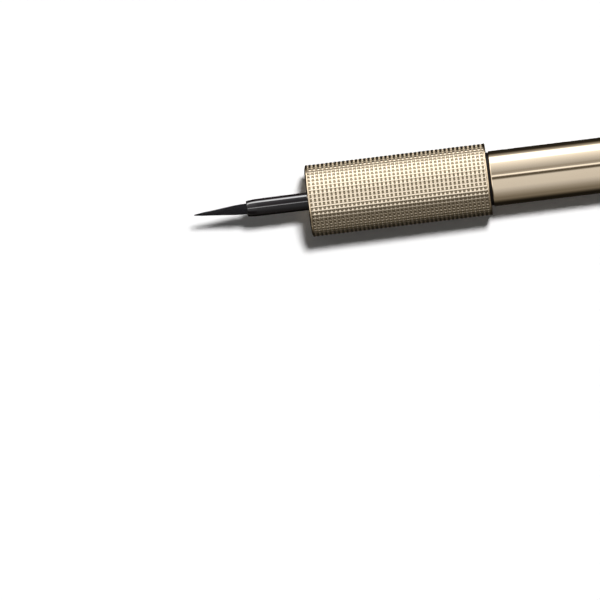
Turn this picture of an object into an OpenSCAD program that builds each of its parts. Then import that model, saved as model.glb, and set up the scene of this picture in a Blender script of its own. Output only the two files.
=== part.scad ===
// Liquid eyeliner pen with a knurled grip, brush tip, free-ink tank and a cap
// posted on its tail. Millimetres. The pen lies along X: the brush points to
// -X, the cap to +X. The origin is on the axis, at the barrel's front end.
// Every piece is drawn standing along Z, tip down, and laid over at the end.

/* [Grip] */
// Length of the whole grip, rims included
grip_len = 30.3; // [24:0.1:40]
// Width of the plain rim at the front
rim_front_w = 0.45; // [0.35:0.05:0.8]
// Width of the plain collar at the rear
rim_rear_w = 0.8; // [0.6:0.05:1.4]
// Rounding of the rims' outer edges
rim_round = 0.3; // [0.1:0.05:0.35]
// Wall of the knurled sleeve, over its crests
sleeve_wall = 0.62; // [0.5:0.02:0.9]
// Wall of the metal core under the sleeve
core_wall = 0.625; // [0.5:0.025:0.9]
// Step from the recess down to the housing's seat in the core
seat_step = 0.245; // [0.2:0.005:0.4]
// Length of the bezel's tube in the core
bezel_tube_len = 2.7; // [1.5:0.1:4]
// Wall of the bezel's tube
bezel_tube_wall = 0.3125; // [0.25:0.0125:0.4]
// Length of one knurl cell along the axis
knurl_pitch = 0.708; // [0.7:0.02:1]
// Knurl cells round the sleeve
knurl_rows = 52; // [40:1:56]
// Depth of a knurl pit
knurl_depth = 0.15; // [0.05:0.01:0.25]

/* [Brush and stem] */
// Diameter of the bundle where it leaves the stem
brush_d = 1.8; // [1.4:0.05:2.2]
// Length of the bundle in front of the stem
brush_len = 8.9; // [6:0.1:12]
// Length of the fused root held in the stem
brush_root_len = 4; // [2:0.5:5]
// How far the root sits back in the stem's mouth
brush_inset = 0.4; // [0.2:0.1:1]
// Rings of filaments; n rings give 3n(n-1) filaments
brush_rings = 11; // [10:1:12]
// Wall of the stem round the brush, at the stem's root
stem_wall = 0.57; // [0.4:0.01:0.7]
// How much thinner the stem is at its front end, on the radius
stem_taper = 0.04; // [0:0.01:0.1]
// Length of stem in front of the grip
stem_len = 10.3; // [8:0.1:12.5]
// Rounding of the stem's front edge
stem_round = 0.3; // [0.1:0.05:0.35]
// How far the stem's foot flange stands out
foot_step = 0.75; // [0.5:0.05:0.9]
// Thickness of the stem's foot flange
foot_w = 2; // [1:0.1:2.5]

/* [Front housing] */
// Length of the neck and of the post on the tail
neck_len = 7.6; // [6:0.1:9]
// Bevel of the neck's front edge
neck_bevel = 0.2; // [0.1:0.05:0.3]
// Step from the neck down to the sealing boss
boss_step = 0.7; // [0.5:0.05:0.75]
// Length of the sealing boss
boss_len = 1.5; // [1:0.1:1.8]
// Bevel of the boss's front edge
boss_bevel = 0.15; // [0.1:0.05:0.3]
// How far the boss lies below the grip's front face
boss_sink = 0.9; // [0.6:0.1:1.5]
// Wall of the housing where it enters the barrel
housing_wall = 0.595; // [0.45:0.005:0.7]
// How far the housing reaches into the barrel
housing_spigot_len = 5; // [3:0.5:7]
// Length of the brush retainer bush
retainer_len = 3; // [2:0.1:3.6]
// Bevel of the retainer's rear edge
retainer_bevel = 0.2; // [0.1:0.05:0.4]

/* [Ink feed] */
// Diameter of the fibre feed rod
feed_d = 1; // [0.8:0.05:1.2]
// Length of the collector's pilot in the housing
pilot_len = 1.2; // [0.8:0.1:2]
// Gap between the collector's fins and the chamber
fin_gap = 0.1; // [0.05:0.01:0.4]
// Wall of the collector's core
comb_wall = 0.87; // [0.6:0.01:1.1]
// Thickness of the collector's end discs
disc_w = 0.6; // [0.4:0.05:0.8]
// Thickness of the disc that seals the chamber
seal_disc_w = 1.75; // [1:0.05:2.2]
// Fins on the collector
fin_count = 30; // [12:1:34]
// Thickness of a fin
fin_w = 0.3; // [0.2:0.02:0.4]
// Width of the ink slit along the fins
slit_w = 0.25; // [0.15:0.05:0.5]
// Thickness of the tank's ring seal
seal_w = 1.4; // [1:0.05:1.6]
// How far the tube reaches into the tank
tube_reach = 1.8; // [1:0.1:3]
// How far the feed rod reaches past the tube
feed_reach = 1.5; // [0.5:0.1:3]

/* [Tank] */
// Gap between the tank and the barrel
tank_gap = 0.06; // [0.04:0.01:0.15]
// Wall of the tank
tank_wall = 0.5; // [0.4:0.05:0.6]
// Thickness of the tank's front wall
tank_front_wall = 1; // [0.8:0.1:2]
// Length of the stopper in the tank
plug_len = 2.5; // [2:0.1:4]
// Thickness of the stopper's flange
plug_flange_w = 0.8; // [0.5:0.1:1.2]
// Bevel of the stopper's front edge
plug_bevel = 0.2; // [0.1:0.05:0.4]
// Diameter of the mixing ball
ball_d = 3; // [2:0.1:3.2]
// Gap between the ball and the tank's wall
ball_gap = 0.15; // [0.1:0.05:0.3]
// Place of the ball behind the feed rod's end
ball_ahead = 12; // [3:0.5:30]

/* [Barrel] */
// Outer diameter of barrel and cap
barrel_d = 9.25; // [9:0.05:12]
// Length of the smooth barrel
barrel_len = 62; // [50:1:80]
// Wall of the barrel
barrel_wall = 0.5; // [0.4:0.01:0.6]
// Bevel of the barrel's rear edge
barrel_bevel = 0.1; // [0.05:0.01:0.2]
// Visible width of the black ring
spacer_show = 0.45; // [0.3:0.05:1]
// Step from the barrel down to the black ring
spacer_step = 0.175; // [0.05:0.025:0.25]
// Length of the black ring hidden in the grip
spacer_hidden = 1.4; // [1:0.1:2]
// Visible width of the tail piece's black shoulder
tail_show = 0.45; // [0.3:0.05:1]
// Length of the tail piece held in the barrel
tail_insert_len = 4; // [3:0.5:5]
// Bevel of the tail piece's front and rear edges
tail_bevel = 0.4; // [0.2:0.05:0.6]
// Width of the snap ring on the post
ring_w = 0.9; // [0.6:0.05:1.2]
// Depth of the snap ring's groove
ring_groove = 0.5; // [0.4:0.05:0.8]
// Place of the snap ring, from the post's foot
ring_at = 3.8; // [2:0.1:5]

/* [Cap] */
// Length of the cap
cap_len = 46; // [43:0.5:60]
// Wall of the cap tube
cap_wall = 0.35; // [0.3:0.01:0.45]
// Wall of the liner that slides on the neck
liner_wall = 0.395; // [0.3:0.005:0.5]
// Bevel of the cap tube's edges
cap_bevel = 0.1; // [0.05:0.01:0.15]
// How far the liner sits back from the mouth
liner_inset = 0.3; // [0.1:0.05:0.5]
// Gap between the boss and the inner cap's bore
inner_cap_gap = 0.05; // [0.04:0.01:0.07]
// Thickness of the inner cap's end wall
inner_cap_end_w = 1.2; // [0.8:0.1:2]
// Width of the soft ring in the inner cap
cap_seal_w = 1; // [0.6:0.05:1.1]
// Depth of the soft ring's groove
cap_seal_depth = 0.4; // [0.3:0.05:0.5]
// Room in the closed cap past the brush tip
tip_room = 1.4; // [0.6:0.1:4]
// Thickness of the end button's head
button_w = 1; // [0.8:0.1:2]
// Rounding of the end button's edge
button_round = 0.45; // [0.2:0.05:0.6]
// Length of the end button's insert
button_insert_len = 4; // [2:0.5:5]
// Bevel of the insert's front edge
button_bevel = 0.35; // [0.2:0.05:0.6]

/* [Fits] */
// Radial gap between pieces that are pressed or glued together
fit_gap = 0.03; // [0.02:0.01:0.04]
// Radial gap of the cap on the neck and the post
slide_gap = 0.05; // [0.04:0.01:0.07]
// Radial gap between the cap and the grip's recess
recess_gap = 0.1; // [0.08:0.01:0.12]
// Radial gap between the snap ring and the liner
snap_gap = 0.02; // [0.01:0.01:0.03]
// Gap between the tail's shoulder and the posted cap
cap_gap = 0.1; // [0.05:0.01:0.2]
// Gap between pieces that meet end to end
end_gap = 0.1; // [0.05:0.01:0.15]

/* [Hidden] */
$fn = 96;

// Colours
gold = "#d9c49a";
knurl_gold = "#cdb78d";
brass = "#b9963f";
black = "#241f21";
bristle_black = "#171414";
milky = "#e6e6e0";
clear = "#c9d6da";
steel = "#b8bcc0";
rubber = "#3a3a3c";

// One overrun for every cut
cut = 1;

// Places along the axis. Zero is the barrel's front end.
grip_back = -spacer_show;
grip_front = grip_back - grip_len;
stem_front = grip_front - stem_len;
tip = stem_front - brush_len;
boss_front = grip_front + boss_sink;
neck_front = boss_front + boss_len;
recess_floor = neck_front + neck_len;
spacer_front = grip_back - spacer_hidden;
tank_front = housing_spigot_len + end_gap;
shoulder_back = barrel_len + tail_show;
cap_mouth = shoulder_back + cap_gap;
cap_back = cap_mouth + cap_len;
tail_front = barrel_len - tail_insert_len;
plug_back = tail_front - end_gap;
tank_back = plug_back - plug_flange_w;
post_back = shoulder_back + neck_len;
brush_root_front = stem_front + brush_inset;
brush_root_back = brush_root_front + brush_root_len;

// Cap and neck, worked inwards from the barrel's diameter
cap_bore = barrel_d - 2 * cap_wall;
liner_d = cap_bore - 2 * fit_gap;
liner_bore = liner_d - 2 * liner_wall;
neck_d = liner_bore - 2 * slide_gap;
boss_d = neck_d - 2 * boss_step;
inner_cap_bore = boss_d + 2 * inner_cap_gap;

// Grip, worked outwards from the cap's seat
recess_d = barrel_d + 2 * recess_gap;
bezel_tube_d = recess_d + 2 * bezel_tube_wall;
core_d = recess_d + 2 * core_wall;
sleeve_bore = core_d + 2 * fit_gap;
grip_d = sleeve_bore + 2 * sleeve_wall;

// Housing and tank, worked inwards from the barrel's bore
barrel_bore = barrel_d - 2 * barrel_wall;
seat_d = recess_d - 2 * seat_step;
housing_d = seat_d - 2 * fit_gap;
housing_spigot_d = barrel_bore - 2 * fit_gap;
chamber_d = housing_spigot_d - 2 * housing_wall;
fin_d = chamber_d - 2 * fin_gap;
disc_d = chamber_d - 2 * fit_gap;
tank_d = barrel_bore - 2 * tank_gap;
tank_bore = tank_d - 2 * tank_wall;
spacer_d = barrel_d - 2 * spacer_step;

// Stem and feed, worked outwards from brush and rod
brush_bore = brush_d + 2 * fit_gap;
stem_d = brush_bore + 2 * stem_wall;
stem_front_d = stem_d - 2 * stem_taper;
foot_d = stem_d + 2 * foot_step;
feed_bore = feed_d + 2 * fit_gap;
comb_core_d = feed_bore + 2 * comb_wall;
tube_d = chamber_d - 2 * seal_w - 4 * fit_gap;

// The stem's foot, the retainer and the collector's pilot share one bore.
foot_front = neck_front + boss_len;
foot_back = foot_front + foot_w;
retainer_back = foot_back + retainer_len;
chamber_front = retainer_back + pilot_len;
foot_bore = foot_d + 2 * fit_gap;

// A closed solid of revolution about Z from its [radius, z] outline
module turned(outline) rotate_extrude() polygon(outline);

// A piece drawn along Z, laid along X with its tip to -X
module laid() rotate([0, 90, 0]) children();

// Outline points of a quarter round from angle a0 to a1 about [r, z]
function arc(r, z, radius, a0, a1, steps = 6) =
    [for (i = [0:steps])
        let (a = a0 + (a1 - a0) * i / steps)
        [r + radius * cos(a), z + radius * sin(a)]];

// Brush. The root's front face is a disc of concentric rings of points; ring
// k has 6k points. Every second triangle of that face grows into a filament
// with three sides, which thins and leans in to the tip. All filaments lean
// by one scale at one height, so none can cross.
// The outline of the bundle: [share of its length, share of its radius]
brush_outline_share = [[0, 1], [0.1, 0.99], [0.16, 0.96], [0.25, 0.89],
                       [0.34, 0.78], [0.43, 0.67], [0.61, 0.46],
                       [0.79, 0.28], [0.9, 0.18], [1, 0.09]];
// Rings of a filament, as shares of its own length
filament_share = [0.22, 0.62];
// How much of its cell a filament fills at those rings
filament_fill_share = [0.8, 0.62];
// The shortest filament's share of the bundle's length
short_share = 0.8;
brush_reach = brush_len + brush_inset;

function ring_first(k) = k == 0 ? 0 : 1 + 3 * k * (k - 1);
function ring_point(k, j) =
    k == 0 ? 0 : ring_first(k) + (j % (6 * k));
function lattice_xy(k, j) =
    let (r = brush_d / 2 * k / brush_rings, a = k == 0 ? 0 : 60 * j / k)
    [r * cos(a), r * sin(a)];
lattice = [for (k = [0:brush_rings], j = [0:max(6 * k - 1, 0)])
           lattice_xy(k, j)];
// Filament cells: [inner point, next inner point, outer point]
cells = [for (k = [2:brush_rings], s = [0:5], j = [0:k - 2])
         [ring_point(k - 1, s * (k - 1) + j),
          ring_point(k - 1, s * (k - 1) + j + 1),
          ring_point(k, s * k + j + 1)]];
// Bare faces between the filaments
bare = [for (k = [1:brush_rings], s = [0:5], j = [0:k - 1])
        [ring_point(k, s * k + j), ring_point(k, s * k + j + 1),
         ring_point(k - 1, s * (k - 1) + j)]];
// A fixed scatter between 0 and 1 for each filament
function scatter(i) = let (v = sin(i * 78.233 + 12.9) * 437.585) v - floor(v);
function filament_len(i) =
    brush_reach * (1 - (1 - short_share) * pow(scatter(i), 2));
// Height share to bundle scale
function bundle_scale(h) = lookup(h, brush_outline_share);

module brush_solid() {
    n_lat = len(lattice);
    n_cell = len(cells);
    rim = 6 * brush_rings;
    rim0 = ring_first(brush_rings);
    front = [for (p = lattice) [p[0], p[1], brush_root_front]];
    rings = [for (i = [0:n_cell - 1], r = [0:1])
             let (c = cells[i], mid = (lattice[c[0]] + lattice[c[1]]
                                       + lattice[c[2]]) / 3,
                  h = filament_len(i) * filament_share[r],
                  lean = bundle_scale(h / brush_reach))
             for (q = c)
                 let (p = lean * (mid + filament_fill_share[r]
                                        * (lattice[q] - mid)))
                 [p[0], p[1], brush_root_front - h]];
    tips = [for (i = [0:n_cell - 1])
            let (c = cells[i], mid = (lattice[c[0]] + lattice[c[1]]
                                      + lattice[c[2]]) / 3,
                 h = filament_len(i),
                 p = mid * bundle_scale(h / brush_reach))
            [p[0], p[1], brush_root_front - h]];
    back = [for (j = [0:rim - 1])
            let (p = lattice[rim0 + j]) [p[0], p[1], brush_root_back]];
    r0 = n_lat;
    t0 = r0 + 6 * n_cell;
    b0 = t0 + n_cell;
    centre = b0 + rim;
    faces = concat(
        // bare front face, seen from -Z
        bare,
        // filament sides
        [for (i = [0:n_cell - 1])
            let (a = cells[i],
                 b = [for (q = [0:2]) r0 + 6 * i + q],
                 c = [for (q = [0:2]) r0 + 6 * i + 3 + q],
                 t = t0 + i)
            for (q = [0:2])
                let (n = (q + 1) % 3)
                for (f = [[a[q], b[q], b[n]], [a[q], b[n], a[n]],
                          [b[q], c[q], c[n]], [b[q], c[n], b[n]],
                          [c[q], t, c[n]]]) f],
        // rim and back of the root
        [for (j = [0:rim - 1])
            let (n = (j + 1) % rim)
            for (f = [[rim0 + j, b0 + n, rim0 + n],
                      [rim0 + j, b0 + j, b0 + n],
                      [b0 + j, centre, b0 + n]]) f]);
    polyhedron(concat(front, rings, tips, back, [[0, 0, brush_root_back]]),
               faces);
}

module brush_tip() color(bristle_black) laid() brush_solid();

// The stem is a slender cone with a foot flange that the housing traps.
module stem() color(black) laid()
    difference() {
        turned(concat(
            [[0, stem_front]],
            arc(stem_front_d / 2 - stem_round, stem_front + stem_round,
                stem_round, -90, 0),
            [[stem_d / 2, boss_front], [stem_d / 2, foot_front],
             [foot_d / 2, foot_front], [foot_d / 2, foot_back],
             [0, foot_back]]));
        translate([0, 0, stem_front - cut])
            cylinder(d = brush_bore, h = cut + brush_inset + brush_root_len);
        translate([0, 0, stem_front])
            cylinder(d = feed_bore, h = foot_back - stem_front + cut);
    }

// The moulded housing: sealing boss, neck, flange, chamber, barrel spigot
module front_housing() color(black) laid()
    turned([
        [stem_d / 2 + fit_gap, boss_front],
        [boss_d / 2 - boss_bevel, boss_front],
        [boss_d / 2, boss_front + boss_bevel],
        [boss_d / 2, neck_front],
        [neck_d / 2 - neck_bevel, neck_front],
        [neck_d / 2, neck_front + neck_bevel],
        [neck_d / 2, recess_floor],
        [housing_d / 2, recess_floor],
        [housing_d / 2, spacer_front],
        [housing_spigot_d / 2, spacer_front],
        [housing_spigot_d / 2, housing_spigot_len],
        [chamber_d / 2, housing_spigot_len],
        [chamber_d / 2, chamber_front],
        [foot_bore / 2, chamber_front],
        [foot_bore / 2, foot_front],
        [stem_d / 2 + fit_gap, foot_front]]);

module brush_retainer() color(milky) laid()
    difference() {
        turned([[0, foot_back],
                [foot_d / 2, foot_back],
                [foot_d / 2, retainer_back - retainer_bevel],
                [foot_d / 2 - retainer_bevel, retainer_back],
                [0, retainer_back]]);
        translate([0, 0, foot_back - cut])
            cylinder(d = feed_bore, h = retainer_len + 2 * cut);
    }

feed_back = tank_front + tank_front_wall + tube_reach + feed_reach;
module feed_rod() color(milky) laid()
    translate([0, 0, brush_root_back])
        cylinder(d = feed_d, h = feed_back - brush_root_back);

// Collector: a pilot in the housing's bore, a row of thin fins on a core, a
// sealing disc, and the tube that enters the tank. One slit joins the gaps
// between the fins, and the feed rod runs through the middle.
comb_front = chamber_front + disc_w;
seal_front = tank_front - end_gap / 2 - seal_w;
comb_back = seal_front - end_gap / 2 - seal_disc_w;
fin_pitch = (comb_back - comb_front) / (fin_count + 1);
tube_back = tank_front + tank_front_wall + tube_reach;
module collector() color(milky) laid()
    difference() {
        turned(concat(
            [[feed_bore / 2, retainer_back],
             [foot_d / 2, retainer_back],
             [foot_d / 2, chamber_front],
             [disc_d / 2, chamber_front],
             [disc_d / 2, comb_front], [comb_core_d / 2, comb_front]],
            [for (i = [1:fin_count])
                let (z = comb_front + i * fin_pitch)
                for (p = [[comb_core_d / 2, z - fin_w / 2],
                          [fin_d / 2, z - fin_w / 2],
                          [fin_d / 2, z + fin_w / 2],
                          [comb_core_d / 2, z + fin_w / 2]]) p],
            [[comb_core_d / 2, comb_back], [disc_d / 2, comb_back],
             [disc_d / 2, seal_front - end_gap / 2],
             [tube_d / 2, seal_front - end_gap / 2],
             [tube_d / 2, tube_back],
             [feed_bore / 2, tube_back]]));
        translate([feed_bore / 2 + fin_w, -slit_w / 2, comb_front - disc_w / 2])
            cube([fin_d, slit_w, comb_back - comb_front + disc_w / 2]);
    }

module tank_seal_ring() color(rubber) laid()
    translate([0, 0, seal_front + seal_w / 2])
        rotate_extrude()
            translate([tube_d / 2 + fit_gap + seal_w / 2, 0])
                circle(d = seal_w);

module ink_tank() color(clear) laid()
    turned([[tube_d / 2 + fit_gap, tank_front],
            [tank_d / 2, tank_front],
            [tank_d / 2, tank_back],
            [tank_bore / 2, tank_back],
            [tank_bore / 2, tank_front + tank_front_wall],
            [tube_d / 2 + fit_gap, tank_front + tank_front_wall]]);

// The ball lies on the tank's lower side, where +X of the standing pen points
// down once the pen is laid over.
module mixing_ball() color(steel) laid()
    translate([tank_bore / 2 - ball_d / 2 - ball_gap, 0,
               feed_back + ball_ahead])
        sphere(d = ball_d);

module tank_plug() color(rubber) laid()
    turned([[0, tank_back - plug_len],
            [tank_bore / 2 - fit_gap - plug_bevel, tank_back - plug_len],
            [tank_bore / 2 - fit_gap, tank_back - plug_len + plug_bevel],
            [tank_bore / 2 - fit_gap, tank_back],
            [tank_d / 2, tank_back],
            [tank_d / 2, plug_back],
            [0, plug_back]]);

// Grip core: a metal tube whose rear collar is the grip's rear rim
module grip_core() color(brass) laid()
    turned(concat(
        [[recess_d / 2, bezel_tube_back],
         [bezel_tube_d / 2 + fit_gap, bezel_tube_back],
         [bezel_tube_d / 2 + fit_gap, core_front],
         [core_d / 2, core_front],
         [core_d / 2, collar_front],
         [grip_d / 2, collar_front]],
        arc(grip_d / 2 - rim_round, grip_back - rim_round, rim_round, 0, 90),
        [[seat_d / 2, grip_back], [seat_d / 2, recess_floor],
         [recess_d / 2, recess_floor]]));

core_front = grip_front + rim_front_w;
collar_front = grip_back - rim_rear_w;
bezel_tube_back = core_front + bezel_tube_len;

module grip_bezel() color(gold) laid()
    turned(concat(
        [[recess_d / 2 + rim_round / 2, grip_front]],
        arc(grip_d / 2 - rim_round, grip_front + rim_round, rim_round,
            -90, 0),
        [[grip_d / 2, core_front],
         [bezel_tube_d / 2, core_front],
         [bezel_tube_d / 2, bezel_tube_back],
         [recess_d / 2, bezel_tube_back],
         [recess_d / 2, grip_front + rim_round / 2]]));

// Knurled sleeve. Crest lines run round and along the sleeve and cross at the
// grid points; each cell between four of them is a pit with a point.
knurl_len = collar_front - core_front;
knurl_rings = round(knurl_len / knurl_pitch);
knurl_step = knurl_len / knurl_rings;
function round_point(r, turn, z) = [r * cos(turn), r * sin(turn), z];

module knurled_solid() {
    n = knurl_rows;
    step = 360 / n;
    rings = knurl_rings;
    inner_r = sleeve_bore / 2 / cos(step / 2);
    crest = [for (k = [0:rings], j = [0:n - 1])
             round_point(grip_d / 2, j * step, core_front + k * knurl_step)];
    pit = [for (k = [0:rings - 1], j = [0:n - 1])
           round_point(grip_d / 2 - knurl_depth, (j + 0.5) * step,
                       core_front + (k + 0.5) * knurl_step)];
    bore = [for (k = [0:1], j = [0:n - 1])
            round_point(inner_r, j * step, core_front + k * knurl_len)];
    p0 = len(crest);
    b0 = p0 + len(pit);
    last = rings * n;
    polyhedron(concat(crest, pit, bore), concat(
        [for (k = [0:rings - 1], j = [0:n - 1])
            let (m = (j + 1) % n, a = k * n + j, b = k * n + m,
                 c = a + n, d = b + n, p = p0 + k * n + j)
            for (f = [[a, p, b], [b, p, d], [d, p, c], [c, p, a]]) f],
        [for (j = [0:n - 1])
            let (m = (j + 1) % n)
            for (f = [[j, m, b0 + m], [j, b0 + m, b0 + j],
                      [last + j, b0 + n + j, b0 + n + m],
                      [last + j, b0 + n + m, last + m],
                      [b0 + j, b0 + m, b0 + n + m],
                      [b0 + j, b0 + n + m, b0 + n + j]]) f]));
}

module grip_sleeve() color(knurl_gold) laid() knurled_solid();

module spacer_ring() color(black) laid()
    turned([[housing_spigot_d / 2 + fit_gap, spacer_front],
            [housing_d / 2, spacer_front],
            [housing_d / 2, grip_back],
            [spacer_d / 2, grip_back],
            [spacer_d / 2, 0],
            [housing_spigot_d / 2 + fit_gap, 0]]);

module barrel_shell() color(gold) laid()
    turned([[barrel_bore / 2, 0],
            [barrel_d / 2, 0],
            [barrel_d / 2, barrel_len - barrel_bevel],
            [barrel_d / 2 - barrel_bevel, barrel_len],
            [barrel_bore / 2, barrel_len]]);

// Tail piece: insert in the barrel, a shoulder like the front's black ring,
// then the post with the snap ring's groove
ring_front = shoulder_back + ring_at - ring_w / 2;
ring_back = ring_front + ring_w;
groove_front = ring_front - fit_gap;
groove_back = ring_back + fit_gap;
groove_d = neck_d - 2 * ring_groove;
module tail_spigot() color(black) laid()
    turned([[0, tail_front],
            [housing_spigot_d / 2 - tail_bevel, tail_front],
            [housing_spigot_d / 2, tail_front + tail_bevel],
            [housing_spigot_d / 2, barrel_len],
            [spacer_d / 2, barrel_len],
            [spacer_d / 2, shoulder_back],
            [neck_d / 2, shoulder_back],
            [neck_d / 2, groove_front],
            [groove_d / 2, groove_front],
            [groove_d / 2, groove_back],
            [neck_d / 2, groove_back],
            [neck_d / 2, post_back - tail_bevel],
            [neck_d / 2 - tail_bevel, post_back],
            [0, post_back]]);

ring_out_d = liner_bore - 2 * snap_gap;
ring_in_d = groove_d + 2 * fit_gap;
ring_round = ring_w / 4;
module post_ring() color(rubber) laid()
    turned(concat(
        [[ring_in_d / 2, ring_front]],
        arc(ring_out_d / 2 - ring_round, ring_front + ring_round,
            ring_round, -90, 0),
        arc(ring_out_d / 2 - ring_round, ring_back - ring_round,
            ring_round, 0, 90),
        [[ring_in_d / 2, ring_back]]));

// Cap, posted on the tail
liner_front = cap_mouth + liner_inset;
liner_back = cap_mouth + neck_len + end_gap;
cap_tube_back = cap_back - button_w;
inner_cavity_back = cap_mouth + (recess_floor - tip) + tip_room;
inner_cap_back = inner_cavity_back + inner_cap_end_w;
cap_seal_front = liner_back + cap_seal_w / 2;
cap_seal_back = cap_seal_front + cap_seal_w;

module cap_shell() color(gold) laid()
    turned([[cap_bore / 2, cap_mouth],
            [barrel_d / 2 - cap_bevel, cap_mouth],
            [barrel_d / 2, cap_mouth + cap_bevel],
            [barrel_d / 2, cap_tube_back],
            [cap_bore / 2, cap_tube_back]]);

module cap_liner() color(milky) laid()
    turned([[liner_bore / 2 + cap_bevel, liner_front],
            [liner_d / 2, liner_front],
            [liner_d / 2, liner_back],
            [liner_bore / 2, liner_back],
            [liner_bore / 2, liner_front + cap_bevel]]);

// The inner cap's mouth closes over the boss, and its cup takes stem and brush.
module inner_cap() color(milky) laid()
    turned([[inner_cap_bore / 2 + cap_bevel, liner_back],
            [liner_d / 2, liner_back],
            [liner_d / 2, inner_cap_back - inner_cap_end_w],
            [liner_d / 2 - inner_cap_end_w / 2, inner_cap_back],
            [0, inner_cap_back],
            [0, inner_cavity_back],
            [inner_cap_bore / 2 - inner_cap_end_w / 2, inner_cavity_back],
            [inner_cap_bore / 2, inner_cavity_back - inner_cap_end_w / 2],
            [inner_cap_bore / 2, cap_seal_back],
            [inner_cap_bore / 2 + cap_seal_depth, cap_seal_back],
            [inner_cap_bore / 2 + cap_seal_depth, cap_seal_front],
            [inner_cap_bore / 2, cap_seal_front],
            [inner_cap_bore / 2, liner_back + cap_bevel]]);

module inner_cap_seal() color(rubber) laid()
    turned([[boss_d / 2 + snap_gap, cap_seal_front + cap_seal_w / 4],
            [inner_cap_bore / 2, cap_seal_front + fit_gap],
            [inner_cap_bore / 2 + cap_seal_depth - fit_gap,
             cap_seal_front + fit_gap],
            [inner_cap_bore / 2 + cap_seal_depth - fit_gap,
             cap_seal_back - fit_gap],
            [inner_cap_bore / 2, cap_seal_back - fit_gap],
            [boss_d / 2 + snap_gap, cap_seal_back - cap_seal_w / 4]]);

module cap_end_plug() color(gold) laid()
    turned(concat(
        [[0, cap_tube_back - button_insert_len],
         [liner_d / 2 - button_bevel, cap_tube_back - button_insert_len],
         [liner_d / 2, cap_tube_back - button_insert_len + button_bevel],
         [liner_d / 2, cap_tube_back],
         [barrel_d / 2, cap_tube_back]],
        arc(barrel_d / 2 - button_round, cap_back - button_round,
            button_round, 0, 90),
        [[0, cap_back]]));

brush_tip();
stem();
front_housing();
brush_retainer();
feed_rod();
collector();
tank_seal_ring();
ink_tank();
mixing_ball();
tank_plug();
grip_core();
grip_sleeve();
grip_bezel();
spacer_ring();
barrel_shell();
tail_spigot();
post_ring();
cap_shell();
cap_liner();
inner_cap();
inner_cap_seal();
cap_end_plug();
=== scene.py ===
# Looks of a liquid eyeliner pen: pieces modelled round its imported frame, their
# materials, a plain studio and the camera. Lengths are written in millimetres,
# and MM makes them metres. The pen lies along X, its brush towards -X.
import math
import random

import bmesh
import bpy
from mathutils import Matrix, Vector


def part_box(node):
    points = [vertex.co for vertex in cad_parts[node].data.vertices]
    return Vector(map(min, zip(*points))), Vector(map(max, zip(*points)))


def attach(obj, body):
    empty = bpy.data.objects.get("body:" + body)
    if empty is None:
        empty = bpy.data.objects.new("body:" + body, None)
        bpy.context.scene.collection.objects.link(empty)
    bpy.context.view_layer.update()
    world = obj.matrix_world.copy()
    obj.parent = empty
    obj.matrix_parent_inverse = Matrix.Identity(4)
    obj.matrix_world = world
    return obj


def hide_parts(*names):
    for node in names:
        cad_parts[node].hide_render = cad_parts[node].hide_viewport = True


MM = 0.001

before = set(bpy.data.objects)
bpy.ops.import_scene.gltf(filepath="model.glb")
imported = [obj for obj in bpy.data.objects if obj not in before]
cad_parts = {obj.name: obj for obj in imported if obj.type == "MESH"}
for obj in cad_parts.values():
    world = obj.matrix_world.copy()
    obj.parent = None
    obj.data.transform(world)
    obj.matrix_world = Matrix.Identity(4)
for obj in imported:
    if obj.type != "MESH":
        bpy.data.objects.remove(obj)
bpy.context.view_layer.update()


def span(node):
    """Front end, rear end and radius of a CAD node, in millimetres."""
    low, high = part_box(node)
    return low.x / MM, high.x / MM, high.y / MM


# Camera. With a long lens it looks down from high above the whole pen's middle
# at the front half, and is turned so that the pen rises to the right. 600 pixels
# cover 100 mm at the height of the axis.
CAMERA_PLACE = Vector((25, -16.17, 2250))
AIM = Vector((-34.1, -16.17, 0))
FRAME_WIDTH = 100
SENSOR_WIDTH = 36
PEN_RISE = 6.994
SIGHT_LIMIT = 20000

lean = math.atan2(CAMERA_PLACE.x - AIM.x, CAMERA_PLACE.z)
leaning = Matrix.Rotation(lean, 3, "Y")
turning = Matrix.Rotation(math.radians(-PEN_RISE), 3, "Z")
bpy.ops.object.select_all(action="DESELECT")
bpy.ops.object.camera_add(
    location=CAMERA_PLACE * MM, rotation=(leaning @ turning).to_euler()
)
camera = bpy.context.object
camera.data.sensor_width = SENSOR_WIDTH
camera.data.lens = SENSOR_WIDTH * (CAMERA_PLACE - AIM).length / FRAME_WIDTH
camera.data.clip_end = SIGHT_LIMIT * MM
bpy.context.scene.camera = camera
bpy.context.scene.view_settings.view_transform = "Standard"


# Shader nodes
def linear(hex_colour):
    """An sRGB hex colour as the linear RGBA that sockets take."""
    channels = [int(hex_colour[i : i + 2], 16) / 255 for i in (1, 3, 5)]
    return [
        c / 12.92 if c <= 0.04045 else ((c + 0.055) / 1.055) ** 2.4 for c in channels
    ] + [1]


def add(tree, kind, inputs=None, **settings):
    """Adds a node. Settings are its own, and inputs are by socket: a value is
    set and an output is linked."""
    node = tree.nodes.new("ShaderNode" + kind)
    for name, value in settings.items():
        setattr(node, name, value)
    for socket, value in (inputs or {}).items():
        if isinstance(value, bpy.types.NodeSocket):
            tree.links.new(value, node.inputs[socket])
        else:
            node.inputs[socket].default_value = value
    return node


def set_stops(ramp, stops):
    """Gives a colour ramp its (position, colour) stops."""
    elements = ramp.elements
    while len(elements) > 1:
        elements.remove(elements[-1])
    elements[0].position, elements[0].color = stops[0]
    for position, colour in stops[1:]:
        elements.new(position).color = colour


def grey(level):
    """A neutral colour of that linear level."""
    return (level, level, level, 1)


def lamp_colour(level):
    """A studio level as a share of the brightest. What is dim is warm: it loses
    some of its green and more of its blue."""
    warmth = max(0, 1 - level / WARM_BELOW)
    return [level / BRIGHTEST * (1 - loss * warmth) for loss in WARM_LOSSES] + [1]


def per_mm(size):
    """Texture scale at which one feature is that many millimetres wide."""
    return 1 / (size * MM)


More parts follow.
